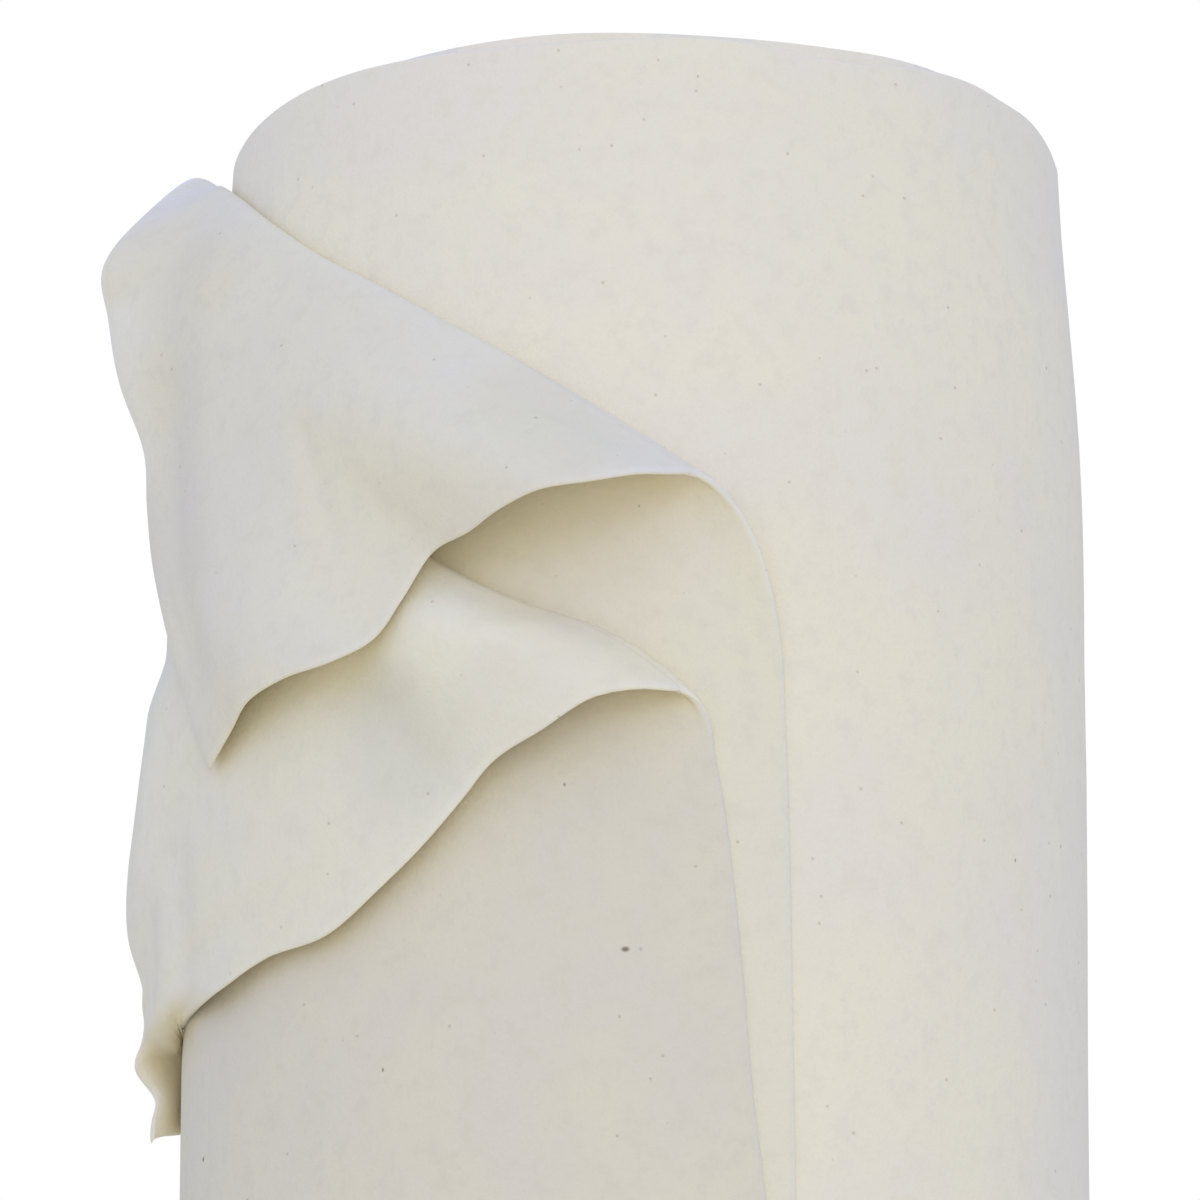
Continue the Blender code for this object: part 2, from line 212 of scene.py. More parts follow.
# The loose corner of the outer flap. Below a nearly level line the cloth beside its cut edge goes back round
# the side, to a place close to the roll, and so makes a hollow under the flap.
CORNER_LINE = ((-64.5, 0.7680), (-92.0, 0.7785))
CORNER_FADE = 10 * MM
CORNER_LEAD = 8 * MM  # how much higher the line is at the cut edge, and within how many degrees of it
CORNER_LEAD_REACH = 7.0
CORNER_CLOSING = 2.5 * MM  # how far above the line the cloth begins to close in on the roll
CORNER_TURN = -94.5
CORNER_GAP = 10.8 * MM
CORNER_REACH = 21.0  # how many degrees of the cloth go back with its cut edge
CORNER_RISE = 14 * MM  # how far the cloth rises on its way back, and how soon it has come down again
CORNER_FALL = 16 * MM
CORNER_MARGIN = 0.07  # the share of the flap that comes forward again, to the raw edge
CORNER_START = ((-64.5, 0.768), (-74.0, 0.760))  # where the cloth is evened out, to bend without creasing
CORNER_EVENED = 0.013  # how far from there, and how often
CORNER_PASSES = 8

# Soft hollows pressed into the cloth, or swells where the depth is negative: the turn and height of each point
# of the course, how far it spreads, and how deep it goes.
Crease = namedtuple("Crease", "course spread depth")
UNDER_CREASES = [
    Crease([(-72.6, 1.094), (-68.7, 1.023), (-63.7, 0.954), (-59.9, 0.905)], 0.014, 2.4 * MM),
    Crease([(-41.9, 0.989), (-36.6, 0.942)], 0.0045, 1.2 * MM),
    Crease([(-66.0, 0.937), (-62.0, 0.912)], 0.003, 0.6 * MM),
    Crease([(-52.0, 0.955), (-49.0, 0.925)], 0.006, 0.6 * MM),
]
OUTER_CREASES = [
    Crease([(-35.8, 0.886), (-29.8, 0.866), (-24.2, 0.848)], 0.014, 4.5 * MM),
    Crease([(-22.0, 0.903), (-15.0, 0.893)], 0.013, -3.0 * MM),
    Crease([(-90.0, 0.764), (-84.0, 0.764)], 0.008, -5.0 * MM),
    Crease([(-90.0, 0.750), (-84.0, 0.750)], 0.006, 2.0 * MM),
]
ROLL_CREASES = [
    Crease([(20.5, 0.779), (36.0, 0.782)], 0.0035, 0.6 * MM),
    Crease([(26.0, 0.757), (44.0, 0.760)], 0.0035, 0.6 * MM),
    Crease([(19.5, 0.741), (33.0, 0.744)], 0.0030, 0.5 * MM),
]

# The cloth's own soft unevenness: wavelength and depth.
UNEVEN = ((0.075, 0.45 * MM), (0.022, 0.14 * MM))

# Painted light and shade on the flap's visible face: darker along its creases and dents, paler on its swells
# and where it turns to the light, warmer beside its folds. For each, the course that it follows, how far it
# spreads, and its tone.
PaintedLightAndShade = namedtuple("PaintedLightAndShade", "course spread tone")
UNDER_PAINTED_LIGHT_AND_SHADE = [
    PaintedLightAndShade([(-77.0, 1.065), (-74.0, 1.000)], 0.012, (1.045, 1.060, 1.120)),
    PaintedLightAndShade([(-66.0, 1.085), (-64.0, 1.040), (-62.0, 0.990), (-58.0, 0.950)], 0.012, (0.965, 0.962, 0.975)),
    PaintedLightAndShade([(-76.0, 1.105), (-60.0, 1.065)], 0.016, (1.000, 0.980, 0.930)),
    PaintedLightAndShade([(-14.0, 0.985), (-8.0, 0.962)], 0.020, (0.970, 0.965, 0.905)),
]
OUTER_PAINTED_LIGHT_AND_SHADE = [
    PaintedLightAndShade([(-31.0, 0.872), (-28.0, 0.850)], 0.022, (0.900, 0.910, 0.900)),
    PaintedLightAndShade([(-23.0, 0.896), (-15.0, 0.905)], 0.018, (1.060, 1.060, 1.020)),
    PaintedLightAndShade([(-14.0, 0.903), (0.0, 0.880)], 0.012, (1.020, 1.000, 0.930)),
    PaintedLightAndShade([(-75.0, 0.880), (-75.5, 0.845)], 0.018, (1.040, 1.040, 1.045)),
    PaintedLightAndShade([(-64.0, 0.835), (-64.0, 0.785)], 0.006, (0.970, 0.970, 0.975)),
    PaintedLightAndShade([(-69.5, 0.830), (-69.5, 0.785)], 0.009, (1.030, 1.035, 1.035)),
    PaintedLightAndShade([(-74.0, 0.820), (-74.7, 0.785)], 0.004, (0.955, 0.955, 0.965)),
]

# The tone of each face of the cloth, as a share of its plain cream.
WOUND_TONE = (1.0, 1.0, 1.0)
BACK_TONE = (0.95, 0.95, 0.95)
UNDER_TONE = (0.949, 0.955, 0.940)
UNDER_INNER_TONE = (0.922, 0.927, 0.933)
OUTER_TONE = (0.878, 0.876, 0.870)
OUTER_INNER_TONE = (0.961, 0.974, 0.976)
BACK_TONE_TO_LEFT = (-150.0, -75.0)  # the turns between which the back's tone gives way to the front's
BACK_TONE_TO_RIGHT = (75.0, 160.0)
EDGE_FIBRES_AND_HIGHLIGHT_BAND = 4.0 * MM  # how far in from an edge the cloth is paler: partly its loose fibres, partly a painted highlight
# how much paler and bluer an edge is: partly its loose fibres, partly a painted highlight where the rounded
# edge catches the light
EDGE_FIBRES_AND_HIGHLIGHT = (0.04, 0.06, 0.14)

# How fine the free layers are.
STANDING_ROWS = 46
BEND_STEPS = 12
TURN_OVER = 0.10  # share of the flap in which it finishes turning over
TURN_OVER_STEPS = 9
FLAP_ROWS = 84
RAW_EDGE_ROWS = np.array([0.030, 0.020, 0.012, 0.006, 0.002, 0.0])  # the flap's last rows, by the share left
SECTION_COUNT = 140
SECTION_CROWDING = 1.3
CUT_SOFTNESS = 4 * MM  # how far from a cut edge the cloth begins to thin
RAW_SOFTNESS = 6 * MM
EDGE_ROWS = np.array([0.0, 0.03, 0.12, 0.3, 0.6, 1.0]) * CUT_SOFTNESS
ROUNDING_MARGIN = 0.1  # degrees kept free between the rows that round off the cut edge and the others
NORMAL_PASSES = 2
SHARP_ANGLE = 60.0
JOIN_DISTANCE = 1e-6
SLIVER_LENGTH = 1e-7

# How fine the winding is.
ROLL_SIDES = 180
SIDE_ROWS = 76
SHOULDER = 1.2 * MM
SHOULDER_ROWS = np.array([0.25, 0.6, 1.0]) * SHOULDER
LAYER_PITCH = DOUBLED_THICK / 2
LAYERS_SHOWN = 44
TOP_SHAPE = np.array([-2.2, -0.35, 0.0, -0.35]) * MM  # across one layer's upper edge, from its outer groove
FOOT_SHAPE = np.array([1.6, 0.0]) * MM
CORE_SINK = 12 * MM

# How high the outermost layer's upper edge stands over the roll's height at each turn, and the next one's.
OUTER_RIM = np.array([
    (-100, 0.0), (-75, 0.5), (-60, 2.3), (-50, 2.7), (-44, 2.4), (-30, 0.6), (-14, -1.7), (0, -1.0),
    (8.5, -0.4), (15, -1.7), (25, -4.0), (31, -2.6), (37, 0.3), (45, 2.6), (50, 3.1), (56, 2.1),
    (65, 2.1), (70, 0.9), (75, -0.6), (80, -0.8), (86, 1.5), (100, 0.5), (120, 1.2), (145, 0.0),
]) * (1, MM)
NEXT_RIM = np.array([
    (-100, 0.0), (-60, 1.5), (-44, 2.8), (-30, 3.6), (-14, 4.1), (0, 3.0), (8.5, 2.4), (15, 2.4),
    (25, 3.0), (37, 4.6), (45, 4.4), (50, 3.1), (65, 1.0), (90, 0.0), (145, 0.0),
]) * (1, MM)
RIM_FROM = 110.0  # the turns, to either side, between which these give way to a plain wave
RIM_TO = 145.0
RIM_DECAY = 1.5  # in layers
RIM_TAKES_SHAPE = 0.09  # the height below the top in which the side follows its rim
LAYER_WAVE = 1.3 * MM
LAYER_WAVE_TURN = 38.0
SECOND_LAYER_SHIFT = 7.3  # how far apart in the noise the two layers of the doubled batting are
LAYER_WANDER = 0.35 * MM
LAYER_WANDER_LENGTH = 0.03

# The cotton: its cream, how far that differs between its warmer and cooler patches, and its flecks.
CREAM = np.array((0.94, 0.86, 0.64))
PATCH_SPREAD = np.array((0.014, 0.014, -0.018))
PATCH_NOISE = (11.0, 3.0, 0.6)  # scale, detail and roughness
PATCH_RANGE = (0.32, 0.68)
SEED_PALE = (0.46, 0.34, 0.20, 1.0)
SEED_DARK = (0.16, 0.09, 0.05, 1.0)
Fleck = namedtuple("Fleck", "scale size strength stretch colour")
FLECKS = [
    Fleck(72.0, 0.95 * MM, 0.40, (1.0, 0.60, 1.0), SEED_PALE),
    Fleck(46.0, 0.75 * MM, 0.60, (1.0, 1.0, 0.65), SEED_DARK),
    Fleck(15.0, 1.40 * MM, 0.75, (0.65, 1.0, 1.0), SEED_DARK),
]
FLECK_TILT = (0.0, math.radians(35), math.radians(20))
FLECK_CORE = 0.3  # the share of a fleck's size in which it has its full strength

# Its clumps and fibres: the scale, detail and roughness of their noise, the range of it in which they grow
# darker, by how large a share and towards what share of the cream, and the strength and depth of their bumps.
Grain = namedtuple("Grain", "scale detail roughness start end share dark strength depth")
CLUMPS = Grain(110.0, 3.0, 0.65, 0.46, 0.72, 0.7, 0.95, 0.6, 0.8 * MM)
FIBRES = Grain(520.0, 2.0, 0.70, 0.50, 0.75, 0.5, 0.96, 0.6, 0.3 * MM)

CLOTH = {
    "Roughness": 0.95,
    "IOR": 1.4,
    "Specular IOR Level": 0.12,
    "Sheen Weight": 0.08,
    "Sheen Roughness": 0.6,
}

# Sockets of a colour mix node, by number because its other kinds of value have the same names.
MIX_A = 6
MIX_B = 7
MIX_RESULT = 2

CAMERA_PLACE = (-0.0173, -2.09, 0.3864)
CAMERA_RISE = 15.39  # degrees above the horizon
CAMERA_SENSOR = 36.0
CAMERA_LENS = 157.17

WHITE = (1.0, 1.0, 1.0, 1.0)
FLOOR_COLOUR = (0.90, 0.79, 0.52, 1.0)
FLOOR_ROUGHNESS = 0.9
FLOOR_RADIUS = 40.0
FLOOR_SIDES = 96
FLOOR_DROP = 0.2 * MM
AMBIENT = (0.58, 0.66, 1.0, 1.0)
AMBIENT_STRENGTH = 1.11
LIGHTS = [  # name, size, watts, colour, place, and the point that it faces
    ("low front", 0.5, 5.6, (1.0, 0.9, 0.7), (0.0, -2.6, 0.3), (0.0, 0.0, 0.85)),
    ("front", 1.6, 7.6, (1.0, 1.0, 1.0), (0.2, -3.0, 1.3), (0.0, 0.0, 0.85)),
]


def clear_lights_and_camera():
    for obj in list(bpy.data.objects):
        if obj.type in ("LIGHT", "CAMERA"):
            bpy.data.objects.remove(obj, do_unlink=True)


def smooth_at(keys, values, at):
    """The values at new keys, read from a smooth curve through the given ones."""
    keys = np.asarray(keys, float)
    values = np.asarray(values, float)
    at = np.clip(np.asarray(at, float), keys[0], keys[-1])
    slopes = np.gradient(values, keys, axis=0)
    low = np.clip(np.searchsorted(keys, at, side="right") - 1, 0, len(keys) - 2)
    step = keys[low + 1] - keys[low]
    share = (at - keys[low]) / step
    if values.ndim > 1:
        share = share[..., None]
        step = step[..., None]
    square = share * share
    cube = square * share
    return (
        (2 * cube - 3 * square + 1) * values[low]
        + (cube - 2 * square + share) * step * slopes[low]
        + (3 * square - 2 * cube) * values[low + 1]
        + (cube - square) * step * slopes[low + 1]
    )


def smooth_step(value):
    value = np.clip(value, 0.0, 1.0)
    return value * value * (3 - 2 * value)


def quarter_round(value):
    """From 0 to 1 along a quarter circle that leaves steeply and arrives level."""
    return np.sqrt(1 - (1 - np.clip(value, 0.0, 1.0)) ** 2)


def share_between(bounds, value):
    """How far a value is on its way from the first bound to the second."""
    return (value - bounds[0]) / (bounds[1] - bounds[0])


def blended(start, end, share):
    """Tones from one to another, a row for each share."""
    share = smooth_step(np.asarray(share, float))[..., None]
    return np.array(start) * (1 - share) + np.array(end) * share


def noise_at(points, wavelength):
    """Smooth noise, about -1 to 1, at each of an array of points."""
    flat = (np.asarray(points) / wavelength).reshape(-1, 3)
    values = [noise.noise(Vector(point)) for point in flat]
    return np.array(values).reshape(np.shape(points)[:-1])


def roll_radius(turn, height):
    """The winding's surface: its soft profile, growing by one doubled layer with each turn."""
    short = smooth_at(PROFILE[:, 0], PROFILE[:, 1], height)
    return ROLL_RADIUS - short + DOUBLED_THICK * np.asarray(turn) / 360


def on_circle(turn, radius, height):
    angle = np.radians(turn)
    return np.stack([radius * np.sin(angle), -radius * np.cos(angle), np.asarray(height, float)], axis=-1)


def unevenness(turn, height):
    """The soft hollows and swells that the cloth keeps, the same in every layer at a place."""
    places = on_circle(turn, ROLL_RADIUS, height)
    return sum(depth * noise_at(places, wavelength) for wavelength, depth in UNEVEN)


def place(turn, height, gap):
    """The point at a turn, a height and a gap from the roll's surface."""
    height = np.asarray(height, float)
    return on_circle(turn, roll_radius(turn, height) + unevenness(turn, height) + gap, height)


def away_from(course, turn, height):
    """How far each place is from a course of turns and heights, along the roll's surface."""
    across = np.asarray(turn) * DEGREE_ARC
    points = np.array(course) * (DEGREE_ARC, 1)
    away = np.full(np.shape(across), np.inf)
    for start, end in zip(points[:-1], points[1:]):
        run = end - start
        share = np.clip(((across - start[0]) * run[0] + (height - start[1]) * run[1]) / (run @ run), 0, 1)
        reach = np.hypot(across - start[0] - share * run[0], height - start[1] - share * run[1])
        away = np.minimum(away, reach)
    return away


def nearness(course, spread, turn, height):
    """A share for each place, 1 on a course and falling to nothing around it."""
    return np.exp(-((away_from(course, turn, height) / spread) ** 2))


def creased(creases, turn, height):
    """How far in the creases press the cloth at each place."""
    total = np.zeros(np.shape(turn))
    for crease in creases:
        total = total + crease.depth * nearness(crease.course, crease.spread, turn, height)
    return total


def painted_light_and_shade(patches, turn, height):
    """The tone that the patches of painted light and shade give the cloth at each place."""
    tone = np.ones(np.shape(turn) + (3,))
    for painted_place in patches:
        tone = tone * blended(np.ones(3), painted_place.tone, nearness(painted_place.course, painted_place.spread, turn, height))
    return tone


def slack_at(turn, height):
    """How far the outer free layer stands off from lying tight."""
    across = np.exp(-(((turn - SLACK_TURN) / SLACK_SPREAD) ** 2))
    above = smooth_step((height - SLACK_TOP + SLACK_FADE) / (2 * SLACK_FADE))
    return SLACK * across * (1 - (1 - SLACK_ABOVE) * above)


def flap_shares():
    """Shares of the way from the fold to the raw edge, closer together at both."""
    angle = np.linspace(0, np.pi / 2, TURN_OVER_STEPS + 1)[1:]
    last = 1 - RAW_EDGE_ROWS
    middle = np.linspace(TURN_OVER, last[0], FLAP_ROWS)[1:-1]
    return np.concatenate([TURN_OVER * (1 - np.cos(angle)), middle, last])


FLAP_SHARES = flap_shares()


def hollowed(flap, from_cut):
    """A section of the outer flap, so many degrees from the cut edge, led back into the corner's hollow."""
    (turn_a, height_a), (turn_b, height_b) = CORNER_LINE
    turn, height, gap = flap.T
    line = height_a + (height_b - height_a) * (turn - turn_a) / (turn_b - turn_a)
    line = line + CORNER_LEAD * (1 - smooth_step(from_cut / CORNER_LEAD_REACH))
    reached = (1 - smooth_step(from_cut / CORNER_REACH)) * smooth_step((1 - FLAP_SHARES) / CORNER_MARGIN)
    back = reached * smooth_step((line - height) / CORNER_FADE)
    closing = reached * smooth_step((line + CORNER_CLOSING - height) / CORNER_FADE)
    rise = CORNER_RISE * np.exp(-np.maximum(line - height, 0) / CORNER_FALL)
    turn = turn + (CORNER_TURN - turn) * back
    gap = gap + (CORNER_GAP - gap) * closing
    return np.stack([turn, height + rise * back, gap], axis=-1)


class FreeLayer:
    """One layer of the free end: it stands against the roll, turns over a slanting fold and hangs as a flap."""

    def __init__(
        self, sections, rising_edge, flap_edge, creases, patches,
        tight_gap, slack_share, edge_rise, flare, is_outer,
    ):
        self.sections = sections
        self.rising_edge = rising_edge
        self.flap_edge = flap_edge
        self.creases = creases
        self.patches = patches
        self.tight_gap = tight_gap
        self.slack_share = slack_share
        self.edge_rise = edge_rise
        self.flare = flare
        self.is_outer = is_outer
        self.first_foot = sections[0, 0]
        self.last_foot = sections[-1, 0]
        along = np.diff(flap_edge * (DEGREE_ARC, 1, 1), axis=0)
        lengths = np.concatenate([[0], np.cumsum(np.linalg.norm(along, axis=1))])
        self.flap_edge_shares = lengths / lengths[-1]

    def near_edge(self, foot, reach):
        """A share for a section, 1 at the cut edge and falling to nothing beyond a reach from it."""
        away = (self.last_foot - foot) * DEGREE_ARC
        return np.exp(-((away / reach) ** 2))

    def standing_gap(self, turn, height):
        return self.tight_gap + self.slack_share * slack_at(turn, height)

    def rising_turn(self, foot, height):
        course = smooth_at(self.rising_edge[:, 0], self.rising_edge[:, 1], height)
        return foot + (course - self.last_foot) * self.near_edge(foot, EDGE_REACH)

    def even_flap(self, section):
        """Turn, height and gap of a section's flap, before it follows the cut edge and takes its creases."""
        shares = FLAP_SHARES
        straight = section.end_turn - section.swing - section.crest_turn
        turn = section.crest_turn + straight * shares
        turn = turn + section.swing * smooth_step((shares - SWING_FROM) / (1 - SWING_FROM))
        height = section.crest_height + (section.end_height - section.crest_height) * shares
        start_gap = self.standing_gap(section.crest_turn, section.crest_height) + section.lift
        rest = min(OUTER_REST, start_gap, section.end_gap) if self.is_outer else start_gap
        pressed = smooth_step(0.5 + (height - PRESS_HEIGHT) / (2 * PRESS_FADE)) * self.is_outer
        flare = shares**self.flare * (1 - (1 - PRESSED_SHARE) * pressed)
        gap = rest + (start_gap - rest) * np.exp(-FLAP_SETTLE * shares) + (section.end_gap - rest) * flare
        gap = gap - section.lift / 2 * (1 - quarter_round(shares / TURN_OVER))
        return np.stack([turn, height, gap], axis=-1)

    def standing_knots(self, foot, lean_height):
        """The part of a section that stands against the roll."""
        rows = np.linspace(FREE_FOOT, lean_height, STANDING_ROWS + 1)[1:-1]
        height = np.concatenate([FREE_FOOT + EDGE_ROWS, rows])
        turn = self.rising_turn(foot, height)
        return np.stack([turn, height, self.standing_gap(turn, height)], axis=-1)

    def fold_slope(self, foot):
        """How fast the fold rises round the roll beside a section. At the cut edge it is left out."""
        feet = (foot - SLOPE_SPAN, foot + SLOPE_SPAN)
        before, after = smooth_at(self.sections[:, 0], self.sections, feet)
        run = Section(*(after - before))
        return run.crest_height / run.crest_turn * (1 - self.near_edge(foot, EDGE_REACH))

    def bend_knots(self, foot, section):
        """The quarter bend in which a section turns over into its fold, which it follows on the way."""
        edge_rise = self.edge_rise * self.near_edge(foot, RISE_REACH)
        bend_height = BEND_RISE * section.lift + edge_rise + BATTING_THICK / 2
        angle = np.linspace(0, np.pi / 2, BEND_STEPS + 1)
        slope = self.fold_slope(foot)
        lean_height = section.crest_height + slope * (foot - section.crest_turn) - bend_height
        lean_turn = self.rising_turn(foot, lean_height)
        turn = lean_turn + (section.crest_turn - lean_turn) * (1 - np.cos(angle))
        fold_height = section.crest_height + slope * (turn - section.crest_turn)
        height = fold_height - bend_height * (1 - np.sin(angle))
        gap = self.standing_gap(turn, height) + section.lift / 2 * (1 - np.cos(angle))
        return np.stack([turn, height, gap], axis=-1)

    def flap_knots(self, foot, section):
        """The part of a section that hangs as a flap, from its fold to its raw edge."""
        flap = self.even_flap(section)
        last = self.even_flap(Section(*self.sections[-1]))
        edge = smooth_at(self.flap_edge_shares, self.flap_edge, FLAP_SHARES)
        flap = flap + (edge - last) * self.near_edge(foot, EDGE_REACH)
        flap[:, 2] -= creased(self.creases, flap[:, 0], flap[:, 1])
        return hollowed(flap, self.last_foot - foot) if self.is_outer else flap

    def section_knots(self, foot):
        """Turn, height and gap at the knots of one section, from the ground to the raw edge."""
        section = Section(*smooth_at(self.sections[:, 0], self.sections, foot))
        bend = self.bend_knots(foot, section)
        standing = self.standing_knots(foot, bend[0, 1])
        return np.concatenate([standing, bend, self.flap_knots(foot, section)])

    def feet(self):
        """The turn at which each section stands, the last ones close together to round off the cut edge."""
        away = np.linspace(1, 0, SECTION_COUNT)[:-1] ** SECTION_CROWDING
        even = self.last_foot + (self.first_foot - self.last_foot) * away
        rounding = self.last_foot - np.degrees(EDGE_ROWS / ROLL_RADIUS)
        return np.concatenate([even[even < rounding[-1] - ROUNDING_MARGIN], rounding[::-1]])

    def standing_shares(self):
        """How far each point of a section belongs to the standing part: 1 there, and 0 from the fold on."""
        standing = np.ones(STANDING_ROWS + len(EDGE_ROWS) - 1)
        bend = 1 - np.sin(np.linspace(0, np.pi / 2, BEND_STEPS + 1))
        return np.concatenate([standing, bend, np.zeros(len(FLAP_SHARES))])

    def knots(self):
        """Turn, height and gap through the middle of the cloth, with a row for each section."""
        return np.array([self.section_knots(foot) for foot in self.feet()])


UNDER_LAYER = FreeLayer(
    UNDER_SECTIONS, UNDER_RISING_EDGE, UNDER_FLAP_EDGE, UNDER_CREASES, UNDER_PAINTED_LIGHT_AND_SHADE,
    tight_gap=UNDER_GAP, slack_share=UNDER_SLACK_SHARE,
    edge_rise=UNDER_EDGE_RISE, flare=UNDER_FLARE, is_outer=False,
)
OUTER_LAYER = FreeLayer(
    OUTER_SECTIONS, OUTER_RISING_EDGE, OUTER_FLAP_EDGE, OUTER_CREASES, OUTER_PAINTED_LIGHT_AND_SHADE,
    tight_gap=OUTER_GAP, slack_share=1.0,
    edge_rise=OUTER_EDGE_RISE, flare=OUTER_FLARE, is_outer=True,
)


def distance_from_end(grid, axis):
    """How far each point of a grid is from the last one of its row, measured along the row."""
    steps = np.linalg.norm(np.diff(grid, axis=axis), axis=-1)
    after = np.flip(np.cumsum(np.flip(steps, axis), axis=axis), axis)
    end = np.zeros_like(np.take(after, [0], axis=axis))
    return np.concatenate([after, end], axis=axis)


def edge_distances(grid):
    """How far each point is from the cut edge, from the raw edge and from the lower edge."""
    from_foot = np.flip(distance_from_end(np.flip(grid, 1), 1), 1)
    return distance_from_end(grid, 0), distance_from_end(grid, 1), from_foot


def fullness(from_cut, from_raw, from_foot):
    """The share of its thickness that the cloth has at each point: it rounds off towards its edges."""
    cut = quarter_round(from_cut / CUT_SOFTNESS)
    raw = quarter_round(from_raw / RAW_SOFTNESS)
    return cut * raw * quarter_round(from_foot / CUT_SOFTNESS)


def smoothed(grid, axis):
    """A grid of vectors, each blended with its two neighbours along an axis."""
    first = np.take(grid, [0], axis=axis)
    last = np.take(grid, [-1], axis=axis)
    before = np.concatenate([first, np.delete(grid, -1, axis=axis)], axis=axis)
    after = np.concatenate([np.delete(grid, 0, axis=axis), last], axis=axis)
    return (before + 2 * grid + after) / 4


def evened_corner(grid, turn, height):
    """The outer layer's grid, evened out where its loose corner begins."""
    share = nearness(CORNER_START, CORNER_EVENED, turn, height)[..., None]
    for _ in range(CORNER_PASSES):
        grid = grid + (smoothed(smoothed(grid, 0), 1) - grid) * share
    return grid


def grid_normals(grid):
    normals = np.cross(np.gradient(grid, axis=0), np.gradient(grid, axis=1))
    normals = normals / np.linalg.norm(normals, axis=-1, keepdims=True)
    for _ in range(NORMAL_PASSES):
        normals = smoothed(smoothed(normals, 0), 1)
    return normals / np.linalg.norm(normals, axis=-1, keepdims=True)


def closed_mesh_object(name, points, tones, faces, material):
    """A smooth closed mesh with a tone at each point, doubled points joined and faces turned outwards."""
    mesh = bpy.data.meshes.new(name)
    mesh.from_pydata([tuple(point) for point in points], [], faces)
    mesh.materials.append(material)
    shades = mesh.color_attributes.new("tone", "FLOAT_COLOR", "POINT")
    shades.data.foreach_set("color", np.column_stack([tones, np.ones(len(points))]).ravel())
    shape = bmesh.new()
    shape.from_mesh(mesh)
    bmesh.ops.remove_doubles(shape, verts=shape.verts, dist=JOIN_DISTANCE)
    bmesh.ops.dissolve_degenerate(shape, edges=shape.edges, dist=SLIVER_LENGTH)
    bmesh.ops.recalc_face_normals(shape, faces=shape.faces)
    shape.to_mesh(mesh)
    shape.free()
    mesh.shade_smooth()
    mesh.set_sharp_from_angle(angle=math.radians(SHARP_ANGLE))
    obj = bpy.data.objects.new(name, mesh)
    bpy.context.scene.collection.objects.link(obj)
    return obj


def grid_faces(across, up, first, flipped):
    """The faces of a grid of points, numbered from the first one up each of its rows in turn."""
    faces = []
    for i in range(across - 1):
        for j in range(up - 1):
            a = first + i * up + j
            quad = (a, a + up, a + up + 1, a + 1)
            faces.append(quad[::-1] if flipped else quad)
    return faces


def layer_faces(across, up):
    """The faces of a sheet's two sides, and those that close it at the seam."""
    second = across * up
    sides = grid_faces(across, up, 0, False) + grid_faces(across, up, second, True)
    return sides + [(j + 1, j, second + j, second + j + 1) for j in range(up - 1)]


def layer_tones(layer, knots, distances, outer_tone, inner_tone):
    """The tone of each point of a sheet's outer side, and then of its inner one, the flap's visible face, which
    carries painted light and shade. Near the edges both are paler and bluer, partly from loose fibres and
    partly from a painted highlight.
    """
    turn, height, _ = np.moveaxis(knots, -1, 0)
    outer = blended(BACK_TONE, outer_tone, share_between(BACK_TONE_TO_LEFT, layer.feet()))
    outer = np.repeat(outer[:, None], turn.shape[1], axis=1)
    # the flap's visible face takes the painted light and shade of the patches
    inner = np.array(inner_tone) * painted_light_and_shade(layer.patches, turn, height)
    # near every edge the cloth is paler and bluer: partly loose fibres, partly a painted highlight
    at_edge = 1 - smooth_step(np.min(distances, axis=0) / EDGE_FIBRES_AND_HIGHLIGHT_BAND)
    fibres_and_highlight = 1 + np.array(EDGE_FIBRES_AND_HIGHLIGHT) * at_edge[..., None]
    return np.concatenate([(outer * fibres_and_highlight).reshape(-1, 3), (inner * fibres_and_highlight).reshape(-1, 3)])


def free_layer(name, layer, outer_tone, inner_tone, material):
    """A free layer of batting: a sheet with two sides, joined round its cut edges and closed at the seam.

    Where it stands, only its outer side rounds off towards the edges, so that it lies down on the cloth behind.
    """
    knots = layer.knots()
    turn, height, gap = np.moveaxis(knots, -1, 0)
    grid = place(turn, height, gap)
    if layer.is_outer:
        grid = evened_corner(grid, turn, height)
    distances = edge_distances(grid)
    full = fullness(*distances)[..., None]
    lean = (1 - full) * layer.standing_shares()[:, None]
    normals = grid_normals(grid) * BATTING_THICK / 2
    outer_side = grid + normals * (full - lean)
    inner_side = grid - normals * (full + lean)
    points = np.concatenate([outer_side.reshape(-1, 3), inner_side.reshape(-1, 3)])
    tones = layer_tones(layer, knots, distances, outer_tone, inner_tone)
    return closed_mesh_object(name, points, tones, layer_faces(*grid.shape[:2]), material)


def rim_rise(turn, layer):
    """How high one layer's upper edge stands over the roll's height. Layer 0 is the outermost."""
    doubled = layer // 2
    wound = (turn - 360 * doubled) / LAYER_WAVE_TURN
    shift = layer % 2 * SECOND_LAYER_SHIFT
    places = np.stack([wound, np.full_like(wound, shift), np.zeros_like(wound)], axis=-1)
    wave = LAYER_WAVE * noise_at(places, 1.0)
    shown = 1 - smooth_step(share_between((RIM_FROM, RIM_TO), np.abs(turn)))
    rim = OUTER_RIM if layer == 0 else NEXT_RIM
    measured = smooth_at(rim[:, 0], rim[:, 1], turn)
    if doubled == 0:
        return wave + (measured - wave) * shown
    return wave + measured * shown * math.exp(-(layer - 1) / RIM_DECAY)


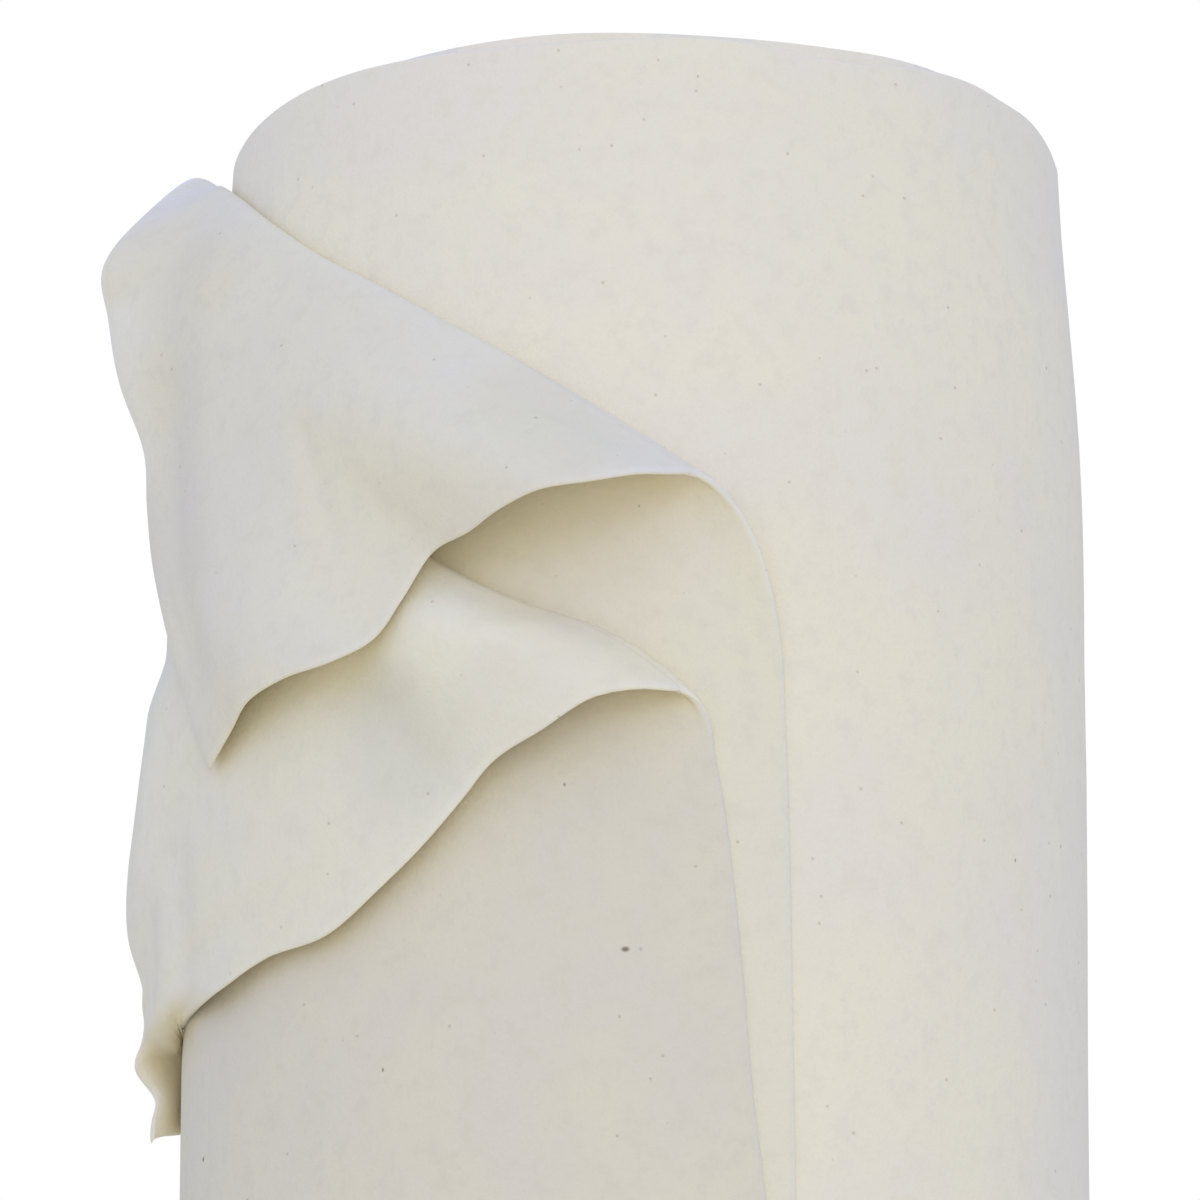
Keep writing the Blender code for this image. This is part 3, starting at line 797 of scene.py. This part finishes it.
def end_rows(turns, shape, top):
    """Rows of points over one end of the roll, along its layers in to the middle, without the outermost row."""
    steps = len(shape)
    rows = []
    end = ROLL_HEIGHT if top else 0.0
    edge = roll_radius(turns, end)
    for row in range(1, LAYERS_SHOWN * steps + 1):
        layer, step = divmod(row, steps)
        rise = rim_rise(turns, layer) if top else np.zeros(len(turns))
        if top and step == 0:
            rise = np.minimum(rise, rim_rise(turns, layer - 1))
        radius = edge - row * LAYER_PITCH / steps
        points = on_circle(turns, radius, end + rise + shape[step])
        wander = LAYER_WANDER * noise_at(points * (1, 1, 0), LAYER_WANDER_LENGTH)
        rows.append(on_circle(turns, radius + wander * min(1.0, row / steps - 0.5), points[:, 2]))
    return rows


def side_rows(turns):
    """Rows of points up the roll's side, rounded off at both ends, with the outermost layer's edge on top."""
    middle = np.linspace(0, ROLL_HEIGHT, SIDE_ROWS)[1:-1]
    heights = np.concatenate([SHOULDER_ROWS, middle, ROLL_HEIGHT - SHOULDER_ROWS[::-1]])
    rise = rim_rise(turns, 0)
    rows = []
    for height in heights:
        follows = smooth_step(1 - (ROLL_HEIGHT - height) / RIM_TAKES_SHAPE)
        to_end = min(height, ROLL_HEIGHT - height)
        rounding = SHOULDER * (1 - float(quarter_round(to_end / SHOULDER)))
        gap = -rounding - creased(ROLL_CREASES, turns, height)
        fixed = place(turns, np.full(len(turns), height), gap)
        fixed[:, 2] += rise * follows
        rows.append(fixed)
    return rows


def winding_numbers(foot_count, side_count, top_count):
    """The number of the winding's point at each row and column, and the rows between which its side lies.

    One turn on, an inner layer's points are those of the layer that winds on from it, a few rows further out.
    """
    columns = ROLL_SIDES + 1
    row_count = foot_count + side_count + top_count
    numbers = np.arange(row_count * columns).reshape(row_count, columns)
    first_side = foot_count
    last_side = foot_count + side_count - 1
    foot_shift = 2 * len(FOOT_SHAPE)
    top_shift = 2 * len(TOP_SHAPE)
    numbers[last_side + top_shift :, -1] = numbers[last_side : row_count - top_shift, 0]
    numbers[: first_side - foot_shift + 1, -1] = numbers[foot_shift : first_side + 1, 0]
    return numbers, first_side, last_side


def winding_faces(numbers, first_side, last_side):
    """The faces of the winding, with those of the step where its outermost turn ends."""
    corners = [numbers[:-1, :-1], numbers[:-1, 1:], numbers[1:, 1:], numbers[1:, :-1]]
    faces = [tuple(quad) for quad in np.stack(corners, axis=-1).reshape(-1, 4).tolist()]
    seam = numbers[:, -1].tolist()
    start = numbers[:, 0].tolist()
    for row in range(first_side, last_side):
        faces.append((seam[row], start[row], start[row + 1], seam[row + 1]))
    faces.append(tuple(seam[last_side : last_side + 2 * len(TOP_SHAPE) + 1]))
    faces.append(tuple(reversed(seam[first_side - 2 * len(FOOT_SHAPE) : first_side + 1])))
    return faces


def core_rings(numbers):
    """The innermost points of the winding's upper end and of its lower one, each in order round the middle."""
    top_shift = 2 * len(TOP_SHAPE)
    foot_shift = 2 * len(FOOT_SHAPE)
    top_ring = numbers[-1].tolist() + numbers[-top_shift:-1, 0].tolist()
    foot_ring = numbers[0].tolist() + numbers[foot_shift - 1 : 0 : -1, 0].tolist()
    return top_ring, foot_ring


def wound_batting(material):
    """The winding: its side, with the step where its outer turn ends, and its layers' edges at both ends."""
    turns = np.linspace(SEAM_TURN, SEAM_TURN + 360, ROLL_SIDES + 1)
    foot = end_rows(turns, FOOT_SHAPE, False)
    side = side_rows(turns)
    top = end_rows(turns, TOP_SHAPE, True)
    rows = foot[::-1] + side + top
    points = list(np.concatenate(rows))

    numbers, first_side, last_side = winding_numbers(len(foot), len(side), len(top))
    faces = winding_faces(numbers, first_side, last_side)
    for ring, height in zip(core_rings(numbers), (ROLL_HEIGHT - CORE_SINK, CORE_SINK)):
        middle = len(points)
        points.append(np.array([0.0, 0.0, height]))
        faces += [(a, b, middle) for a, b in zip(ring, ring[1:] + ring[:1])]

    left = blended(BACK_TONE, WOUND_TONE, share_between(BACK_TONE_TO_LEFT, turns))
    right = blended(WOUND_TONE, BACK_TONE, share_between(BACK_TONE_TO_RIGHT, turns))
    around = np.where(turns[:, None] < 0, left, right)
    tones = np.concatenate([np.tile(around, (len(rows), 1)), [BACK_TONE, BACK_TONE]])
    return closed_mesh_object("wound_batting", points, tones, faces, material)


class Nodes:
    """A short way to build a material's node tree."""

    def __init__(self, material):
        material.use_nodes = True
        self.tree = material.node_tree
        self.tree.nodes.clear()

    def add(self, kind, **values):
        made = self.tree.nodes.new(kind)
        for name, value in values.items():
            setattr(made, name, value)
        return made

    def set(self, node, **values):
        for name, value in values.items():
            node.inputs[name.replace("_", " ")].default_value = value

    def link(self, source, output, target, socket):
        self.tree.links.new(source.outputs[output], target.inputs[socket])


def batting_noise(nodes, where, scale, detail, roughness):
    made = nodes.add("ShaderNodeTexNoise")
    nodes.set(made, Scale=scale, Detail=detail, Roughness=roughness)
    nodes.link(where, "Object", made, "Vector")
    return made


def ranged(nodes, source, output, start, end, to_start, to_end):
    made = nodes.add("ShaderNodeMapRange", interpolation_type="SMOOTHSTEP")
    nodes.set(made, From_Min=start, From_Max=end, To_Min=to_start, To_Max=to_end)
    nodes.link(source, output, made, "Value")
    return made


def opaque(colour):
    return (*colour, 1.0)


def tinted(nodes, base, colour, share):
    """The base colour turned towards another by a share."""
    made = nodes.add("ShaderNodeMix", data_type="RGBA")
    nodes.link(base, MIX_RESULT, made, MIX_A)
    made.inputs[MIX_B].default_value = colour
    nodes.link(share, "Result", made, "Factor")
    return made


def patchy_cream(nodes, where):
    """The cotton's cream, in wide patches that are slightly warmer and cooler."""
    patches = batting_noise(nodes, where, *PATCH_NOISE)
    cream = nodes.add("ShaderNodeMix", data_type="RGBA")
    cream.inputs[MIX_A].default_value = opaque(CREAM - PATCH_SPREAD)
    cream.inputs[MIX_B].default_value = opaque(CREAM + PATCH_SPREAD)
    share = ranged(nodes, patches, "Fac", *PATCH_RANGE, 0.0, 1.0)
    nodes.link(share, "Result", cream, "Factor")
    return cream


def fleck_mask(nodes, where, fleck):
    """Small flecks scattered through the cloth, each a thin bit of seed or stalk."""
    lying = nodes.add("ShaderNodeMapping")
    lying.inputs["Scale"].default_value = fleck.stretch
    lying.inputs["Rotation"].default_value = FLECK_TILT
    nodes.link(where, "Object", lying, "Vector")
    cells = nodes.add("ShaderNodeTexVoronoi", feature="F1")
    nodes.set(cells, Scale=fleck.scale, Randomness=1.0)
    nodes.link(lying, "Vector", cells, "Vector")
    size = fleck.size * fleck.scale
    return ranged(nodes, cells, "Distance", FLECK_CORE * size, size, fleck.strength, 0.0)


def shaded_by_tone(nodes, colour):
    """The colour, multiplied by the tone that each point of the mesh has: its face's tone, painted light and
    shade on the flaps, and paler edges that are partly loose fibres and partly a painted highlight.
    """
    tone = nodes.add("ShaderNodeAttribute", attribute_name="tone")
    toned = nodes.add("ShaderNodeMix", data_type="RGBA", blend_type="MULTIPLY")
    toned.inputs["Factor"].default_value = 1.0
    nodes.link(colour, MIX_RESULT, toned, MIX_A)
    nodes.link(tone, "Color", toned, MIX_B)
    return toned


def batting_material():
    """Needled natural cotton: cream, matt, faintly mottled and fibrous, with small brown flecks of seed."""
    material = bpy.data.materials.new("needled cotton")
    nodes = Nodes(material)
    where = nodes.add("ShaderNodeTexCoord")
    colour = patchy_cream(nodes, where)
    bump = None
    for grain in (CLUMPS, FIBRES):
        texture = batting_noise(nodes, where, grain.scale, grain.detail, grain.roughness)
        share = ranged(nodes, texture, "Fac", grain.start, grain.end, 0.0, grain.share)
        colour = tinted(nodes, colour, opaque(CREAM * grain.dark), share)
        raised = nodes.add("ShaderNodeBump")
        nodes.set(raised, Strength=grain.strength, Distance=grain.depth)
        nodes.link(texture, "Fac", raised, "Height")
        if bump:
            nodes.link(bump, "Normal", raised, "Normal")
        bump = raised
    for fleck in FLECKS:
        colour = tinted(nodes, colour, fleck.colour, fleck_mask(nodes, where, fleck))
    colour = shaded_by_tone(nodes, colour)

    cloth = nodes.add("ShaderNodeBsdfPrincipled")
    for socket, value in CLOTH.items():
        cloth.inputs[socket].default_value = value
    nodes.link(colour, MIX_RESULT, cloth, "Base Color")
    nodes.link(bump, "Normal", cloth, "Normal")
    output = nodes.add("ShaderNodeOutputMaterial")
    nodes.link(cloth, "BSDF", output, "Surface")
    return material


def floor():
    """The plain pale floor."""
    mesh = bpy.data.meshes.new("floor")
    shape = bmesh.new()
    bmesh.ops.create_circle(shape, cap_ends=True, segments=FLOOR_SIDES, radius=FLOOR_RADIUS)
    shape.to_mesh(mesh)
    shape.free()
    obj = bpy.data.objects.new("floor", mesh)
    obj.location = (0, 0, -FLOOR_DROP)
    bpy.context.scene.collection.objects.link(obj)
    material = bpy.data.materials.new("pale floor")
    material.use_nodes = True
    shader = material.node_tree.nodes["Principled BSDF"]
    shader.inputs["Base Color"].default_value = FLOOR_COLOUR
    shader.inputs["Roughness"].default_value = FLOOR_ROUGHNESS
    mesh.materials.append(material)


def camera():
    """The camera of the photograph: it looks up at the roll's upper part from the front."""
    data = bpy.data.cameras.new("camera")
    data.sensor_width = CAMERA_SENSOR
    data.lens = CAMERA_LENS
    obj = bpy.data.objects.new("camera", data)
    obj.location = CAMERA_PLACE
    obj.rotation_euler = (math.radians(90 + CAMERA_RISE), 0, 0)
    bpy.context.scene.collection.objects.link(obj)
    bpy.context.scene.camera = obj


def lights(pieces):
    """Large soft lamps that light the cloth alone, so that the floor stays even."""
    cloth = bpy.data.collections.new("cloth")
    for piece in pieces:
        cloth.objects.link(piece)
    for name, size, watts, colour, where, target in LIGHTS:
        data = bpy.data.lights.new(name, "AREA")
        data.shape = "DISK"
        data.size = size
        data.energy = watts
        data.color = colour
        obj = bpy.data.objects.new(name, data)
        obj.location = where
        obj.rotation_euler = (Vector(target) - Vector(where)).to_track_quat("-Z", "Y").to_euler()
        obj.visible_camera = False
        obj.light_linking.receiver_collection = cloth
        bpy.context.scene.collection.objects.link(obj)


def studio():
    """A white background, and a soft, slightly blue light from all round it."""
    world = bpy.data.worlds.new("studio")
    world.use_nodes = True
    tree = world.node_tree
    tree.nodes.clear()
    ambient = tree.nodes.new("ShaderNodeBackground")
    ambient.inputs["Color"].default_value = AMBIENT
    ambient.inputs["Strength"].default_value = AMBIENT_STRENGTH
    background = tree.nodes.new("ShaderNodeBackground")
    background.inputs["Color"].default_value = WHITE
    rays = tree.nodes.new("ShaderNodeLightPath")
    mix = tree.nodes.new("ShaderNodeMixShader")
    output = tree.nodes.new("ShaderNodeOutputWorld")
    tree.links.new(rays.outputs["Is Camera Ray"], mix.inputs["Fac"])
    tree.links.new(ambient.outputs["Background"], mix.inputs[1])
    tree.links.new(background.outputs["Background"], mix.inputs[2])
    tree.links.new(mix.outputs["Shader"], output.inputs["Surface"])
    bpy.context.scene.world = world
    bpy.context.scene.view_settings.view_transform = "Standard"


def main():
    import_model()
    clear_lights_and_camera()
    cotton = batting_material()
    roll = wound_batting(cotton)
    under = free_layer("under_flap_layer", UNDER_LAYER, UNDER_TONE, UNDER_INNER_TONE, cotton)
    outer = free_layer("outer_flap_layer", OUTER_LAYER, OUTER_TONE, OUTER_INNER_TONE, cotton)
    for piece, node in ((roll, "wound_roll"), (under, "under_layer"), (outer, "outer_layer")):
        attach(piece, "root")
        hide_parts(node)

    floor()
    camera()
    lights((roll, under, outer))
    studio()


main()
